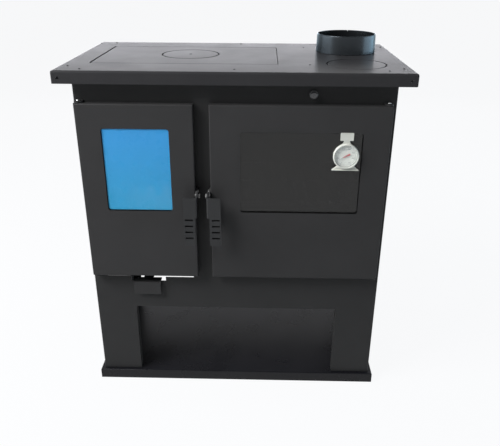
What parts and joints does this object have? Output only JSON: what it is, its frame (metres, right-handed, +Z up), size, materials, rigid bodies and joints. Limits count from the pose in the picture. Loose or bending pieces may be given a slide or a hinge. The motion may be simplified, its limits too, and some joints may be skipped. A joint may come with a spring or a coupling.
{
  "type": "wood cookstove",
  "caption": "Wood-burning cookstove with a glazed fire door, a glazed oven door with a thermometer, a steel cooking top with lift-off plates, a flue collar and an open wood store.",
  "frame": {"origin": "middle of the footprint's bounding box, on the floor", "axes": "+X to the right seen from the front, +Y towards the back, +Z up"},
  "size_m": [0.76, 0.463, 0.8513],
  "materials": {
    "black_paint": "satin heat-resistant powder coat",
    "top_steel": "satin dark steel",
    "cast_iron": "fine cast, blacked",
    "bare_steel": "mill finish sheet",
    "zinc": "zinc plated",
    "stainless": "bright stainless",
    "firebrick": "rough refractory",
    "seal_rope": "braided glass fibre",
    "door_glass": "dark ceramic glass",
    "clear_glass": "clear",
    "blue_film": "protective film",
    "dial_white": "white dial",
    "pointer_red": "red lacquer"
  },
  "bodies": {
    "cabinet": {"base_plinth": "black_paint", "front_frame": "black_paint", "side_panel_left": "black_paint", "side_panel_right": "black_paint", "back_panel": "black_paint", "deck_plate": "bare_steel", "air_inlet_guide": "bare_steel", "top_plate": "top_steel", "cook_plate_ledge": "bare_steel", "cover_ledge": "bare_steel", "flue_collar": "black_paint", "firebox_shell": "bare_steel", "grate_frame": "cast_iron", "fire_grate": "cast_iron", "firebrick_left_front": "firebrick", "firebrick_left_rear": "firebrick", "firebrick_right_front": "firebrick", "firebrick_right_rear": "firebrick", "firebrick_back": "firebrick", "log_guard": "cast_iron", "ash_runner_left": "bare_steel", "ash_runner_right": "bare_steel", "oven_box": "bare_steel", "oven_cleat_front": "bare_steel", "oven_cleat_rear": "bare_steel", "rack_runner_left": "stainless", "rack_runner_right": "stainless", "flue_divider": "bare_steel", "fire_hinge_top": "black_paint", "fire_hinge_bottom": "black_paint", "oven_hinge_top": "black_paint", "oven_hinge_bottom": "black_paint"},
    "fire_door": {"fire_door_panel": "black_paint", "fire_door_liner": "black_paint", "fire_door_glass": "door_glass", "fire_door_film": "blue_film", "fire_door_seal": "seal_rope", "fire_latch_bolt": "zinc"},
    "fire_latch": {"fire_latch_hook": "zinc", "fire_latch_handle": "black_paint"},
    "oven_door": {"oven_door_panel": "black_paint", "oven_door_liner": "black_paint", "oven_door_glass": "door_glass", "oven_door_seal": "seal_rope", "oven_latch_bolt": "zinc", "thermometer_case": "stainless", "thermometer_dial": "dial_white", "thermometer_lens": "clear_glass"},
    "oven_latch": {"oven_latch_hook": "zinc", "oven_latch_handle": "black_paint"},
    "dial_pointer": {"thermometer_pointer": "pointer_red"},
    "cook_plate": {"cook_plate": "cast_iron"},
    "burner_lid": {"burner_lid": "cast_iron"},
    "round_cover": {"round_cover": "top_steel"},
    "air_slide": {"air_slide": "black_paint"},
    "damper": {"damper_slide": "bare_steel", "damper_knob": "black_paint"},
    "ash_drawer": {"ash_drawer": "bare_steel"},
    "oven_rack": {"oven_rack": "stainless"}
  },
  "joints": [
    {"name": "fire_door_swing", "type": "hinge", "parent": "cabinet", "child": "fire_door", "pos_m": [-0.3346, -0.1865, 0.3195], "axis": [0, 0, -1], "range_deg": [0, 110]},
    {"name": "oven_door_swing", "type": "hinge", "parent": "cabinet", "child": "oven_door", "pos_m": [0.3293, -0.1865, 0.3195], "axis": [0, 0, 1], "range_deg": [0, 110]},
    {"name": "fire_latch_lift", "type": "hinge", "parent": "fire_door", "child": "fire_latch", "pos_m": [-0.0886, -0.1875, 0.5365], "axis": [-1, 0, 0], "range_deg": [0, 45]},
    {"name": "oven_latch_lift", "type": "hinge", "parent": "oven_door", "child": "oven_latch", "pos_m": [-0.0544, -0.1875, 0.5365], "axis": [-1, 0, 0], "range_deg": [0, 45]},
    {"name": "pointer_turn", "type": "hinge", "parent": "oven_door", "child": "dial_pointer", "pos_m": [0.2433, -0.1978, 0.629], "axis": [0, 1, 0], "range_deg": [0, 250]},
    {"name": "cook_plate_lift", "type": "slide", "parent": "cabinet", "child": "cook_plate", "axis": [0, 0, 1], "range_m": [0, 0.15]},
    {"name": "burner_lid_lift", "type": "slide", "parent": "cook_plate", "child": "burner_lid", "axis": [0, 0, 1], "range_m": [0, 0.1]},
    {"name": "round_cover_lift", "type": "slide", "parent": "cabinet", "child": "round_cover", "axis": [0, 0, 1], "range_m": [0, 0.1]},
    {"name": "air_slide_pull", "type": "slide", "parent": "cabinet", "child": "air_slide", "axis": [0, -1, 0], "range_m": [0, 0.07]},
    {"name": "damper_pull", "type": "slide", "parent": "cabinet", "child": "damper", "axis": [0, -1, 0], "range_m": [0, 0.105]},
    {"name": "ash_drawer_pull", "type": "slide", "parent": "cabinet", "child": "ash_drawer", "axis": [0, -1, 0], "range_m": [0, 0.15]},
    {"name": "oven_rack_pull", "type": "slide", "parent": "cabinet", "child": "oven_rack", "axis": [0, -1, 0], "range_m": [0, 0.1]}
  ],
  "couplings": [
    {"joint": "ash_drawer_pull", "follows": "fire_door_swing", "m_per_rad": 0.078},
    {"joint": "oven_rack_pull", "follows": "oven_door_swing", "m_per_rad": 0.05}
  ]
}
